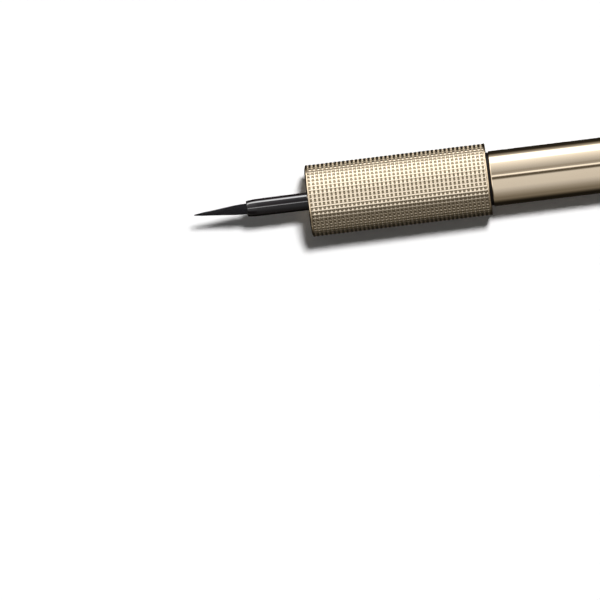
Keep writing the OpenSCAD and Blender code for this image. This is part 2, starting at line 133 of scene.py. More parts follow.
# Studio. Polished metal shows what stands round it, so glossy rays see a softly
# lit studio that runs along the pen: a low softbox behind it, its glow overhead
# with one thin lamp tube and the gap beside it, and a darker near side. Towards
# the pen's two ends it is brighter, and straight past them it is one even level.
# Angles are from straight up, positive towards the near side.
STUDIO_EDGE = 100
BRIGHTEST = 4
WARM_BELOW = 0.6
WARM_LOSSES = 0, 0.14, 0.36
side_levels = [
    (-100, 2.5), (-95, 4.0), (-76, 4.0), (-70, 2.6), (-65, 1.45), (-53.5, 1.15),
    (-40.5, 0.85), (-27, 0.58), (-21, 0.42), (-13.5, 0.55), (-11.5, 1.6), (-7.5, 1.5),
    (-5.5, 0.27), (-3, 0.13), (2.5, 0.13), (5.5, 0.5), (8.5, 0.92), (43, 0.86),
    (56.5, 0.66), (70, 0.45), (86, 0.28), (98, 0.20),
]
end_levels = [
    (-100, 0.4), (-85, 0.6), (-75, 2.0), (-45, 2.1), (-32, 1.5), (-20, 1.25),
    (-6, 1.1), (8, 1.35), (22, 1.6), (31, 1.3), (40, 0.65), (50, 0.25), (62, 0.1),
    (75, 0.1), (90, 0.12),
]
END_LEVEL = 0.75
AMBIENT = 0.088
# How far a direction leans along the pen, as a sine, where the end levels set in
# and are full, and where the even end level does
LEANING = 0.03, 0.14
STRAIGHT_PAST = 0.985, 0.999

world = bpy.context.scene.world or bpy.data.worlds.new("studio")
bpy.context.scene.world = world
world.use_nodes = True
tree = world.node_tree
tree.nodes.clear()
direction = add(tree, "TexCoord").outputs["Generated"]
parts = add(tree, "SeparateXYZ", {"Vector": direction}).outputs
towards = add(
    tree, "Math", {0: parts["Y"], 1: -1.0}, operation="MULTIPLY"
).outputs[0]
angle = add(tree, "Math", {0: towards, 1: parts["Z"]}, operation="ARCTAN2")
place = add(
    tree,
    "MapRange",
    {
        "Value": angle.outputs[0],
        "From Min": math.radians(-STUDIO_EDGE),
        "From Max": math.radians(STUDIO_EDGE),
    },
)
ramps = []
for levels in (side_levels, end_levels):
    ramp = add(tree, "ValToRGB", {"Fac": place.outputs[0]})
    set_stops(
        ramp.color_ramp,
        [
            ((degrees + STUDIO_EDGE) / (2 * STUDIO_EDGE), lamp_colour(level))
            for degrees, level in levels
        ],
    )
    ramps.append(ramp.outputs[0])
along = add(tree, "Math", {0: parts["X"]}, operation="ABSOLUTE")
endwards = add(
    tree,
    "MapRange",
    {"Value": along.outputs[0], "From Min": LEANING[0], "From Max": LEANING[1]},
    interpolation_type="SMOOTHSTEP",
)
across_pen = add(
    tree,
    "Mix",
    {0: endwards.outputs[0], 6: ramps[0], 7: ramps[1]},
    data_type="RGBA",
)
past_end = add(
    tree,
    "MapRange",
    {
        "Value": along.outputs[0],
        "From Min": STRAIGHT_PAST[0],
        "From Max": STRAIGHT_PAST[1],
    },
    interpolation_type="SMOOTHSTEP",
)
studio = add(
    tree,
    "Mix",
    {0: past_end.outputs[0], 6: across_pen.outputs[2], 7: lamp_colour(END_LEVEL)},
    data_type="RGBA",
)
glossy_sky = add(
    tree, "Background", {"Color": studio.outputs[2], "Strength": BRIGHTEST}
)
plain_sky = add(tree, "Background", {"Color": grey(1), "Strength": AMBIENT})
white_sky = add(tree, "Background", {"Color": grey(1), "Strength": 1.0})
rays = add(tree, "LightPath").outputs
seen = add(
    tree,
    "Math",
    {0: rays["Is Camera Ray"], 1: rays["Is Transmission Ray"]},
    operation="MAXIMUM",
)
lit = add(
    tree,
    "MixShader",
    {0: rays["Is Glossy Ray"], 1: plain_sky.outputs[0], 2: glossy_sky.outputs[0]},
)
sky = add(
    tree, "MixShader", {0: seen.outputs[0], 1: lit.outputs[0], 2: white_sky.outputs[0]}
)
add(tree, "OutputWorld", {"Surface": sky.outputs[0]})

# One soft key lamp, behind the pen and to its right, throws the shadow towards
# the camera's lower left.
KEY_STRENGTH = 3.4
KEY_WIDTH = 9.5
KEY_DIRECTION = Vector((-0.19, -0.315, -1))
bpy.ops.object.light_add(type="SUN")
key = bpy.context.object
key.rotation_euler = KEY_DIRECTION.to_track_quat("-Z", "Y").to_euler()
key.data.energy = KEY_STRENGTH
key.data.angle = math.radians(KEY_WIDTH)
key.visible_glossy = False

# Floor. The pen rests on the grip's rear rim and on the cap's end button.
RIM_EDGE = 0.3
BUTTON_EDGE = 0.45
FLOOR_GAP = 0.01
FLOOR_SIZE = 3000
grip_front, grip_back, grip_radius = span("grip_core")
button_front, cap_back, cap_radius = span("cap_end_plug")
rim_x = grip_back - RIM_EDGE
button_x = cap_back - BUTTON_EDGE
slope = math.atan2(grip_radius - cap_radius, button_x - rim_x)
bpy.ops.object.select_all(action="DESELECT")
bpy.ops.mesh.primitive_plane_add(
    size=FLOOR_SIZE * MM,
    location=(rim_x * MM, 0, -(grip_radius + FLOOR_GAP) * MM),
    rotation=(0, -slope, 0),
)
floor = bpy.context.object
floor.name = "floor"

# White board for the camera. Reflected rays see it glow instead, and that glow is
# painted light: painted shade beside the pen that stands for the studio's dark
# table, and further off on the far side a painted pool of softbox light. Past the
# pen's ends it glows at one even level.
painted_glow_levels = [
    (-100, 0.24), (-45, 0.23), (-27, 0.13), (-20, 0.05), (-14, 0.01), (15, 0.03),
    (20, 0.2), (25, 0.38), (35, 0.62), (45, 1.4), (60, 2.2), (100, 3.0),
]
FLOOR_EDGE = 100
PAST_END = 2, 14
board = bpy.data.materials.new("white_board")
board.use_nodes = True
tree = board.node_tree
tree.nodes.clear()
place = add(tree, "TexCoord").outputs["Object"]
parts = add(tree, "SeparateXYZ", {"Vector": place}).outputs
share = add(
    tree,
    "MapRange",
    {"Value": parts["Y"], "From Min": -FLOOR_EDGE * MM, "From Max": FLOOR_EDGE * MM},
)
painted_table_glow = add(tree, "ValToRGB", {"Fac": share.outputs[0]})
set_stops(
    painted_table_glow.color_ramp,
    [
        ((y + FLOOR_EDGE) / (2 * FLOOR_EDGE), lamp_colour(level))
        for y, level in painted_glow_levels
    ],
)
middle = (cap_back + span("brush_tip")[0]) / 2 - rim_x
from_middle = add(tree, "Math", {0: parts["X"], 1: middle * MM}, operation="SUBTRACT")
lengthwise = add(tree, "Math", {0: from_middle.outputs[0]}, operation="ABSOLUTE")
past_end = add(
    tree,
    "MapRange",
    {
        "Value": lengthwise.outputs[0],
        "From Min": (cap_back - rim_x - middle + PAST_END[0]) * MM,
        "From Max": (cap_back - rim_x - middle + PAST_END[1]) * MM,
    },
    interpolation_type="SMOOTHSTEP",
)
board_look = add(
    tree,
    "Mix",
    {0: past_end.outputs[0], 6: painted_table_glow.outputs[0], 7: lamp_colour(END_LEVEL)},
    data_type="RGBA",
)
# Painted light: the board glows for reflected rays though it is no lamp
painted_glow = add(
    tree, "Emission", {"Color": board_look.outputs[2], "Strength": BRIGHTEST}
)
paper = add(tree, "BsdfDiffuse", {"Color": linear("#f8f8f8")})
rays = add(tree, "LightPath").outputs
face = add(
    tree,
    "MixShader",
    {0: rays["Is Glossy Ray"], 1: paper.outputs[0], 2: painted_glow.outputs[0]},
)
add(tree, "OutputMaterial", {"Surface": face.outputs[0]})
floor.data.materials.append(board)


# Materials
def surface(name, sockets):
    """A material with one Principled shader whose even values are set."""
    material = bpy.data.materials.new(name)
    material.use_nodes = True
    shader = material.node_tree.nodes["Principled BSDF"]
    for socket, value in sockets.items():
        shader.inputs[socket].default_value = value
    return material, material.node_tree, shader.inputs


def polished_anodised_aluminium():
    """Drawn tube, buffed and anodised champagne gold: a near mirror, with long
    faint draw marks under the clear oxide."""
    material, tree, inputs = surface(
        "polished_champagne_anodised_aluminium", {"Metallic": 1.0}
    )
    place = add(tree, "TexCoord").outputs["Object"]
    # Draw marks run along the tube: 20 mm long, 0.1 mm wide
    stretched = add(tree, "Mapping", {"Vector": place, "Scale": (0.005, 1, 1)})
    marks = add(
        tree,
        "TexNoise",
        {"Vector": stretched.outputs[0], "Scale": per_mm(0.1), "Detail": 3.0},
    )
    # Dye takes unevenly over a few millimetres
    dye = add(tree, "TexNoise", {"Vector": place, "Scale": per_mm(9), "Detail": 2.0})
    colour = add(
        tree,
        "Mix",
        {0: dye.outputs[0], 6: linear("#dcccb5"), 7: linear("#d8c7ae")},
        data_type="RGBA",
    )
    rough = add(
        tree,
        "MapRange",
        {"Value": marks.outputs[0], "To Min": 0.045, "To Max": 0.085},
    )
    tree.links.new(colour.outputs[2], inputs["Base Color"])
    tree.links.new(rough.outputs[0], inputs["Roughness"])
    return material


# Pattern of the knurl: rows of pits round the sleeve and rings of them along it.
# ROW_TURN and RING_SLIDE are where the pattern starts, as shares of a cell. The
# CAD sleeve has CAD_RINGS rings. Here one more runs on over the core's collar and
# leaves only its rounded edge plain. PIT_CORE and PIT_EDGE are how far a pit and
# its soft bound reach from its middle, along the pen and round it. The last three
# say where, round the pen, the paler wall ends, the floor lies and the wall painted
# darkest begins. All are shares of a cell. The pits are painted darker than the
# lands as shade in the hollows.
ROWS = 52
CAD_RINGS = 41
RINGS = CAD_RINGS + 1
ROW_TURN = 0.45
RING_SLIDE = 0.27
PIT_CORE = 0.23, 0.28
PIT_EDGE = 0.33, 0.38
PALE_PIT_WALL = 0.33
PIT_FLOOR = 0.38, 0.62
SHADED_PIT_WALL = 0.67
sleeve_front, sleeve_back, sleeve_radius = span("grip_sleeve")
pitch = (sleeve_back - sleeve_front) / CAD_RINGS
knurl_back = sleeve_front + (RINGS - RING_SLIDE) * pitch
row_angle = 2 * math.pi / ROWS


def knurled_anodised_aluminium():
    """The same alloy, rolled with a square knurl: lands burnished bright, and
    pits painted darker as shade, with one wall paler and smoother, a duller floor,
    and one wall rougher and painted darkest as shade."""
    material, tree, inputs = surface(
        "knurled_champagne_anodised_aluminium", {"Metallic": 1.0}
    )
    place = add(tree, "TexCoord").outputs["Object"]
    parts = add(tree, "SeparateXYZ", {"Vector": place}).outputs
    towards = add(tree, "Math", {0: parts["Y"], 1: -1.0}, operation="MULTIPLY")
    angle = add(
        tree, "Math", {0: towards.outputs[0], 1: parts["Z"]}, operation="ARCTAN2"
    )
    # How far a place is from the middle of its pit, as a share of a cell
    shares = []
    off_centre = []
    for value, cell, start in (
        (parts["X"], pitch * MM, RING_SLIDE - sleeve_front / pitch),
        (angle.outputs[0], row_angle, ROW_TURN),
    ):
        cells = add(
            tree,
            "Math",
            {0: value, 1: 1 / cell, 2: start + RINGS + ROWS},
            operation="MULTIPLY_ADD",
        )
        share = add(tree, "Math", {0: cells.outputs[0]}, operation="FRACT")
        shares.append(share.outputs[0])
        side = add(tree, "Math", {0: share.outputs[0], 1: 0.5}, operation="SUBTRACT")
        off_centre.append(add(tree, "Math", {0: side.outputs[0]}, operation="ABSOLUTE"))
    bounds = [
        add(
            tree,
            "MapRange",
            {"Value": distance.outputs[0], "From Min": low, "From Max": high},
            interpolation_type="SMOOTHSTEP",
        ).outputs[0]
        for distance, low, high in zip(off_centre, PIT_CORE, PIT_EDGE)
    ]
    crest = add(tree, "Math", {0: bounds[0], 1: bounds[1]}, operation="MAXIMUM")
    # Painted shade: pits darker than the lands, and darkest on one wall
    pit_painted_shade = add(tree, "ValToRGB", {"Fac": shares[1]})
    set_stops(
        pit_painted_shade.color_ramp,
        [
            (PALE_PIT_WALL, linear("#a0917a")),
            (PIT_FLOOR[0], linear("#94866e")),
            (PIT_FLOOR[1], linear("#94866e")),
            (SHADED_PIT_WALL, linear("#4a4032")),
        ],
    )
    # Tool marks of the rolling, 0.3 mm apart
    wear = add(tree, "TexNoise", {"Vector": place, "Scale": per_mm(0.3)})
    colour = add(
        tree,
        "Mix",
        {0: crest.outputs[0], 6: pit_painted_shade.outputs[0], 7: linear("#dbcdb7")},
        data_type="RGBA",
    )
    pit_matt = add(
        tree,
        "MapRange",
        {
            "Value": shares[1],
            "From Min": PALE_PIT_WALL,
            "From Max": SHADED_PIT_WALL,
            "To Min": 0.15,
            "To Max": 0.4,
        },
    )
    matt = add(
        tree,
        "Mix",
        {0: crest.outputs[0], 2: pit_matt.outputs[0], 3: 0.12},
        data_type="FLOAT",
    )
    spread = add(
        tree,
        "MapRange",
        {"Value": wear.outputs[0], "To Min": -0.03, "To Max": 0.05},
    )
    rough = add(tree, "Math", {0: matt.outputs[0], 1: spread.outputs[0]})
    tree.links.new(colour.outputs[2], inputs["Base Color"])
    tree.links.new(rough.outputs[0], inputs["Roughness"])
    return material


def plated_brass():
    """Turned brass rims, plated champagne gold: smooth, with the faint rings
    that the turning tool leaves."""
    material, tree, inputs = surface("champagne_plated_brass", {"Metallic": 1.0})
    place = add(tree, "TexCoord").outputs["Object"]
    # Rings of the turning tool, 0.05 mm apart along the axis
    rings = add(
        tree,
        "TexWave",
        {"Vector": place, "Scale": per_mm(0.05) / (2 * math.pi), "Distortion": 0.4},
        bands_direction="X",
    )
    cloud = add(tree, "TexNoise", {"Vector": place, "Scale": per_mm(1.5)})
    rough = add(
        tree, "MapRange", {"Value": rings.outputs[1], "To Min": 0.1, "To Max": 0.16}
    )
    colour = add(
        tree,
        "Mix",
        {0: cloud.outputs[0], 6: linear("#dccab0"), 7: linear("#d5c2a5")},
        data_type="RGBA",
    )
    tree.links.new(colour.outputs[2], inputs["Base Color"])
    tree.links.new(rough.outputs[0], inputs["Roughness"])
    return material


GLOSS_SPREAD = 0.15


def moulded_plastic(name, dark, light, roughness, grain, bump, ior=1.5):
    """An injection-moulded plastic: the tool's texture of that grain size in
    millimetres, in gloss, colour and relief."""
    material, tree, inputs = surface(name, {"IOR": ior})
    place = add(tree, "TexCoord").outputs["Object"]
    texture = add(
        tree, "TexNoise", {"Vector": place, "Scale": per_mm(grain), "Detail": 3.0}
    )
    flow = add(tree, "TexNoise", {"Vector": place, "Scale": per_mm(4)})
    colour = add(
        tree,
        "Mix",
        {0: flow.outputs[0], 6: linear(dark), 7: linear(light)},
        data_type="RGBA",
    )
    rough = add(
        tree,
        "MapRange",
        {
            "Value": texture.outputs[0],
            "To Min": roughness * (1 - GLOSS_SPREAD),
            "To Max": roughness * (1 + GLOSS_SPREAD),
        },
    )
    relief = add(
        tree,
        "Bump",
        {"Height": texture.outputs[0], "Strength": bump, "Distance": 0.01 * MM},
    )
    tree.links.new(colour.outputs[2], inputs["Base Color"])
    tree.links.new(rough.outputs[0], inputs["Roughness"])
    tree.links.new(relief.outputs[0], inputs["Normal"])
    return material, inputs


def filament_nylon():
    """Tapered black nylon filaments, wet with ink: fine lengthwise streaks in
    gloss, and a few that catch more light."""
    material, tree, inputs = surface(
        "inked_nylon_filament", {"IOR": 1.53, "Specular IOR Level": 0.25}
    )
    place = add(tree, "TexCoord").outputs["Object"]
    # One streak is as wide as a filament, 0.08 mm, and 4 mm long
    stretched = add(tree, "Mapping", {"Vector": place, "Scale": (0.02, 1, 1)})
    streaks = add(
        tree,
        "TexNoise",
        {"Vector": stretched.outputs[0], "Scale": per_mm(0.08), "Detail": 2.0},
    )
    colour = add(
        tree,
        "Mix",
        {0: streaks.outputs[0], 6: linear("#040304"), 7: linear("#0e0c12")},
        data_type="RGBA",
    )
    rough = add(
        tree,
        "MapRange",
        {"Value": streaks.outputs[0], "To Min": 0.55, "To Max": 0.38},
    )
    tree.links.new(colour.outputs[2], inputs["Base Color"])
    tree.links.new(rough.outputs[0], inputs["Roughness"])
    return material


def bonded_fibre():
    """Acrylic fibres bonded into a rod and soaked with ink: dark, dull, with
    fibres along its length."""
    material, tree, inputs = surface("inked_bonded_acrylic_fibre", {"IOR": 1.49})
    place = add(tree, "TexCoord").outputs["Object"]
    # Fibres are drawn 0.06 mm wide, a few times their real width
    stretched = add(tree, "Mapping", {"Vector": place, "Scale": (0.03, 1, 1)})
    fibres = add(
        tree,
        "TexNoise",
        {"Vector": stretched.outputs[0], "Scale": per_mm(0.06), "Detail": 4.0},
    )
    colour = add(
        tree,
        "Mix",
        {0: fibres.outputs[0], 6: linear("#17151a"), 7: linear("#3b3740")},
        data_type="RGBA",
    )
    relief = add(
        tree,
        "Bump",
        {"Height": fibres.outputs[0], "Strength": 0.5, "Distance": 0.03 * MM},
    )
    tree.links.new(colour.outputs[2], inputs["Base Color"])
    tree.links.new(relief.outputs[0], inputs["Normal"])
    inputs["Roughness"].default_value = 0.8
    return material


def ground_steel():
    """Ground stainless ball: bright, with a faint haze of grinding scratches."""
    material, tree, inputs = surface("ground_stainless_steel", {"Metallic": 1.0})
    place = add(tree, "TexCoord").outputs["Object"]
    haze = add(
        tree, "TexNoise", {"Vector": place, "Scale": per_mm(0.15), "Detail": 4.0}
    )
    colour = add(
        tree,
        "Mix",
        {0: haze.outputs[0], 6: linear("#b4b5b8"), 7: linear("#c6c7ca")},
        data_type="RGBA",
    )
    rough = add(
        tree, "MapRange", {"Value": haze.outputs[0], "To Min": 0.08, "To Max": 0.22}
    )
    tree.links.new(colour.outputs[2], inputs["Base Color"])
    tree.links.new(rough.outputs[0], inputs["Roughness"])
    return material


mirror_gold = polished_anodised_aluminium()
knurl_gold = knurled_anodised_aluminium()
rim_gold = plated_brass()
# Glossy black ABS of the stem: deep black with one hard highlight
stem_black, gloss = moulded_plastic(
    "glossy_black_abs", "#060405", "#0a0709", 0.05, 0.25, 0.02
)
gloss["Specular IOR Level"].default_value = 0.3
# Satin black ABS of housing, spacer and tail: the tool was lightly blasted
satin_black, satin = moulded_plastic(
    "satin_black_abs", "#0b0909", "#141111", 0.34, 0.12, 0.15
)
satin["Specular IOR Level"].default_value = 0.12
# Natural polypropylene: milky, waxy, and it lets some light in
milky_plastic, milky = moulded_plastic(
    "natural_polypropylene", "#dedfd9", "#ecece6", 0.4, 0.2, 0.1, ior=1.49
)
milky["Subsurface Weight"].default_value = 0.25
milky["Subsurface Scale"].default_value = 0.6 * MM
# Clear styrene acrylonitrile of the tank: water-clear with a cool cast
clear_plastic, clear = moulded_plastic(
    "clear_san", "#e8f0f1", "#f2f7f7", 0.07, 0.8, 0.02, ior=1.57
)
clear["Transmission Weight"].default_value = 0.9
# Black nitrile rubber of seals and stopper: dull, with a fine bloom
seal_rubber, _ = moulded_plastic(
    "black_nitrile_rubber", "#1c1c1e", "#29292b", 0.72, 0.08, 0.3, ior=1.52
)
brush_black = filament_nylon()
feed_fibre = bonded_fibre()
ball_steel = ground_steel()


# Modelling
def start_piece(name):
    """Takes the new primitive as a piece, with its place in its mesh."""
    piece = bpy.context.object
    piece.name = piece.data.name = name
    bpy.ops.object.transform_apply(location=True, rotation=True, scale=True)
    return piece


def finish_piece(piece, body, material, slot, *nodes, smooth=35):
    """Shades a piece by angle, gives it its material and ties it to its body and CAD
    nodes. The slot is not used.
    """
    bpy.ops.object.select_all(action="DESELECT")
    piece.select_set(True)
    bpy.context.view_layer.objects.active = piece
    bpy.ops.object.shade_smooth_by_angle(angle=math.radians(smooth))
    piece.data.materials.clear()
    piece.data.materials.append(material)
    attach(piece, body)
    if nodes:
        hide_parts(*nodes)
    return piece


def turned(name, stations, sides=160):
    """A piece as from a lathe. A ring is drawn at the first (x, radius) station
    and extruded from one to the next. Ends on the axis are closed to a point,
    and otherwise the last ring is bridged to the first."""
    on_axis = [stations[0][1] == 0, stations[-1][1] == 0]
    rings = [s for s in stations if s[1] > 0]
    x, radius = rings[0]
    bpy.ops.object.select_all(action="DESELECT")
    bpy.ops.mesh.primitive_circle_add(
        vertices=sides,
        radius=radius * MM,
        location=(x * MM, 0, 0),
        rotation=(0, math.pi / 2, 0),
    )
    piece = start_piece(name)
    bpy.ops.object.mode_set(mode="EDIT")
    bpy.ops.mesh.select_mode(type="VERT")
    bpy.ops.mesh.select_all(action="SELECT")
    if on_axis[0]:
        bpy.ops.mesh.extrude_region_move(
            TRANSFORM_OT_translate={"value": ((stations[0][0] - x) * MM, 0, 0)}
        )
        bpy.ops.mesh.merge(type="CENTER")
        bpy.ops.mesh.select_non_manifold(
            extend=False, use_wire=False, use_multi_face=False, use_verts=False,
            use_non_contiguous=False, use_boundary=True,
        )
    for next_x, next_radius in rings[1:]:
        bpy.ops.mesh.extrude_region_move(
            TRANSFORM_OT_translate={"value": ((next_x - x) * MM, 0, 0)}
        )
        share = next_radius / radius
        bpy.ops.transform.resize(
            value=(1, share, share), center_override=(next_x * MM, 0, 0)
        )
        x, radius = next_x, next_radius
    if on_axis[1]:
        bpy.ops.mesh.extrude_region_move(
            TRANSFORM_OT_translate={"value": ((stations[-1][0] - x) * MM, 0, 0)}
        )
        bpy.ops.mesh.merge(type="CENTER")
    if not any(on_axis):
        bpy.ops.mesh.select_non_manifold(
            extend=False, use_wire=False, use_multi_face=False, use_verts=False,
            use_non_contiguous=False, use_boundary=True,
        )
        bpy.ops.mesh.bridge_edge_loops()
    bpy.ops.mesh.select_all(action="SELECT")
    bpy.ops.mesh.normals_make_consistent(inside=False)
    bpy.ops.object.mode_set(mode="OBJECT")
    return piece


def arc(x, radius, r, start, end, steps=5):
    """Stations of a rounded edge about (x, radius). 0 degrees points along +X
    and 90 away from the axis."""
    angles = [math.radians(start + (end - start) * i / steps) for i in range(steps + 1)]
    return [(x + r * math.cos(a), radius + r * math.sin(a)) for a in angles]


# Barrel: its front edge is rounded where it meets the black ring, its rear edge
# is bevelled. A short land beside each edge keeps the long wall's shading even.
WALL = 0.5
LAND = 0.15
FRONT_EDGE = 0.08
REAR_EDGE = 0.1
barrel_front, barrel_back, barrel_radius = span("barrel_shell")
barrel = turned(
    "barrel",
    [(barrel_front, barrel_radius - WALL)]
    + arc(barrel_front + FRONT_EDGE, barrel_radius - FRONT_EDGE, FRONT_EDGE, 180, 90)
    + [
        (barrel_front + FRONT_EDGE + LAND, barrel_radius),
        (barrel_back - REAR_EDGE - LAND, barrel_radius),
    ]
    + arc(barrel_back - REAR_EDGE, barrel_radius - REAR_EDGE, REAR_EDGE, 90, 0)
    + [(barrel_back, barrel_radius - WALL)],
    sides=256,
)
finish_piece(barrel, "pen", mirror_gold, "gold_mirror", "barrel_shell")

# Knurled sleeve. One cell of the knurl is a small grid with a pit in its middle.
# The lands that run along the pen have sharp edges and a slight wave, and those
# that run round it are rounded and lower. Sections are (place across the cell,
# share of the depth). The cell is repeated along the sleeve and then round it, the
# ends are turned in and bridged, and the pattern is slid towards the brush.
WAVE = 0.062
SADDLE = 0.04
PIT = 0.21
RING_SECTION = [
    (0, 0), (0.13, 0.02), (0.24, 0.35), (0.35, 0.88), (0.5, 1), (0.65, 0.88),
    (0.76, 0.35), (0.87, 0.02), (1, 0),
]
ROW_SECTION = [(0, 0), (0.13, 0), (0.33, 1), (0.67, 1), (0.87, 0), (1, 0)]
SLEEVE_BORE = 5.38
bpy.ops.object.select_all(action="DESELECT")
ring_steps = len(RING_SECTION) - 1
row_steps = len(ROW_SECTION) - 1
bpy.ops.mesh.primitive_grid_add(
    x_subdivisions=ring_steps, y_subdivisions=row_steps, size=1,
    location=(0.5, 0.5, 0),
)
sleeve = start_piece("knurled_sleeve")
for vertex in sleeve.data.vertices:
    ring, ring_depth = RING_SECTION[round(vertex.co.x * ring_steps)]
    row, row_depth = ROW_SECTION[round(vertex.co.y * row_steps)]
    land = WAVE * math.sin(math.pi * ring) ** 2
    hollow = SADDLE + (PIT - SADDLE) * ring_depth
    radius = sleeve_radius - land - (hollow - land) * row_depth
    turn = (row - ROW_TURN) * row_angle
    vertex.co = (
        (sleeve_front + ring * pitch) * MM,
        -radius * math.sin(turn) * MM,
        radius * math.cos(turn) * MM,
    )
strip = sleeve.modifiers.new("strip", "ARRAY")
strip.count = RINGS
strip.use_relative_offset = False
strip.use_constant_offset = True
strip.constant_offset_displace = (pitch * MM, 0, 0)
bpy.ops.object.modifier_apply(modifier=strip.name)
bpy.ops.object.mode_set(mode="EDIT")
bpy.ops.mesh.select_mode(type="VERT")
bpy.ops.mesh.select_all(action="SELECT")
bpy.ops.mesh.spin(
    steps=ROWS - 1, dupli=True, angle=row_angle * (ROWS - 1),
    center=(0, 0, 0), axis=(1, 0, 0),
)
bpy.ops.mesh.select_all(action="SELECT")
bpy.ops.mesh.remove_doubles(threshold=0.01 * MM)
bpy.ops.mesh.select_mode(type="EDGE")
bpy.ops.mesh.select_non_manifold(
    extend=False, use_wire=False, use_multi_face=False, use_verts=False,
    use_non_contiguous=False, use_boundary=True,
)
bpy.ops.mesh.extrude_edges_move(TRANSFORM_OT_translate={"value": (0, 0, 0)})
cage = bmesh.from_edit_mesh(sleeve.data)
for vertex in cage.verts:
    if vertex.select:
        vertex.co.yz = vertex.co.yz.normalized() * SLEEVE_BORE * MM
    from_front = vertex.co.x / MM - sleeve_front
    vertex.co.x -= RING_SLIDE * pitch * min(from_front / (0.5 * pitch), 1) * MM
bmesh.update_edit_mesh(sleeve.data)
bpy.ops.mesh.bridge_edge_loops()
bpy.ops.mesh.select_all(action="SELECT")
bpy.ops.mesh.normals_make_consistent(inside=False)
bpy.ops.object.mode_set(mode="OBJECT")
finish_piece(sleeve, "pen", knurl_gold, "gold_knurl", "grip_sleeve", smooth=30)

# Front rim: the bezel's face with its rounded lip, a steep bevel that mirrors the
# dark table and draws the rim's black outline, and the tube in the core
bezel_front, bezel_back, _ = span("grip_bezel")
RECESS = 4.725
BEZEL_TUBE = 5.0375
LIP = 0.15
front_rim = turned(
    "grip_front_rim",
    arc(bezel_front + LIP, RECESS + LIP, LIP, 180, 270, 4)[::-1]
    + [
        (bezel_front, grip_radius - 0.6),
        (bezel_front + 0.02, grip_radius - 0.53),
        (bezel_front + 0.19, grip_radius - 0.07),
        (bezel_front + 0.21, grip_radius - 0.03),
        (bezel_front + 0.24, grip_radius - 0.008),
        (bezel_front + 0.28, grip_radius),
        (sleeve_front - 0.06, grip_radius),
        (sleeve_front, grip_radius - 0.05),
        (sleeve_front, BEZEL_TUBE),
        (bezel_back, BEZEL_TUBE),
        (bezel_back, RECESS),
    ],
)
finish_piece(front_rim, "pen", rim_gold, "gold_rim", "grip_bezel")

# Core: the tube under the sleeve, and the collar that is the rear rim. A fine
# groove parts the collar from the knurl.
core_front, core_back, _ = span("grip_core")
CORE = 5.35
SEAT = 4.48
SEAT_FROM_NOSE = 9.1
GLUE = 0.03
RIM_ROUND = 0.16
housing_front, housing_back, _ = span("front_housing")
seat_front = housing_front + SEAT_FROM_NOSE
core = turned(
    "grip_core_and_rear_rim",
    [
        (bezel_back, RECESS),
        (bezel_back, BEZEL_TUBE + GLUE),
        (core_front, BEZEL_TUBE + GLUE),
        (core_front, CORE),
        (knurl_back, CORE),
        (knurl_back, grip_radius - 0.08),
        (knurl_back + 0.03, grip_radius - 0.03),
        (knurl_back + 0.07, grip_radius),
    ]
    + arc(core_back - RIM_ROUND, grip_radius - RIM_ROUND, RIM_ROUND, 90, 0)
    + [(core_back, SEAT), (seat_front, SEAT), (seat_front, RECESS)],
)
finish_piece(core, "pen", rim_gold, "gold_rim", "grip_core")

# Black ring between grip and barrel
ring_front, ring_back, _ = span("spacer_ring")
RING = 4.45
RING_BORE = 4.125
ring = turned(
    "black_ring",
    [
        (ring_front, RING_BORE),
        (ring_front, RING - 0.05),
        (ring_front + 0.05, RING),
        (ring_back - 0.04, RING),
        (ring_back, RING - 0.04),
        (ring_back, RING_BORE),
    ],
)
finish_piece(ring, "pen", satin_black, "black_moulding", "spacer_ring")

# Stem: a slender cone with a rounded nose, its foot flange in the housing
stem_front, stem_back, foot_radius = span("stem")
STEM_FRONT = 1.46
STEM = 1.5
BRUSH_BORE = 0.93
FEED_BORE = 0.53
FOOT_LENGTH = 2
ROOT_SETBACK = 0.4
ROOT_LENGTH = 4
STEM_LIP = 0.1
foot_front = stem_back - FOOT_LENGTH
root_front = stem_front + ROOT_SETBACK
root_back = root_front + ROOT_LENGTH
nose = [
    (0, 1.13), (0.04, 1.22), (0.13, 1.28), (0.3, 1.33), (0.6, 1.38), (1.2, 1.43),
    (1.9, STEM_FRONT),
]
stem = turned(
    "stem",
    arc(stem_front + STEM_LIP, BRUSH_BORE + STEM_LIP, STEM_LIP, 180, 270, 3)[::-1]
    + [(stem_front + along, radius) for along, radius in nose]
    + [
        (housing_front, STEM),
        (foot_front, STEM),
        (foot_front, foot_radius),
        (stem_back, foot_radius),
        (stem_back, FEED_BORE),
        (root_back, FEED_BORE),
        (root_back, BRUSH_BORE),
    ],
    sides=128,
)
finish_piece(stem, "pen", stem_black, "black_gloss", "stem")

# Two strip lamps draw the lines on the stem's gloss: a broad one, low on the far
# side, the hard white line, and a narrow one straight above it the fainter second
# line. They light the stem alone.
STRIP_DISTANCE = 300
STRIP_LENGTH = 600
STEM_MIDDLE = -35
lit_pieces = bpy.data.collections.new("lit_by_strip_lamps")
lit_pieces.objects.link(stem)
for tilt, width, energy in ((79, 116, 4.1), (0, 42, 0.84)):
    tipped = math.radians(tilt)
    bpy.ops.object.light_add(
        type="AREA",
        location=(
            STEM_MIDDLE * MM,
            STRIP_DISTANCE * math.sin(tipped) * MM,
            STRIP_DISTANCE * math.cos(tipped) * MM,
        ),
        rotation=(-tipped, 0, 0),
    )
    strip_lamp = bpy.context.object
    strip_lamp.data.shape = "RECTANGLE"
    strip_lamp.data.size = STRIP_LENGTH * MM
    strip_lamp.data.size_y = width * MM
    strip_lamp.data.energy = energy
    strip_lamp.light_linking.receiver_collection = lit_pieces

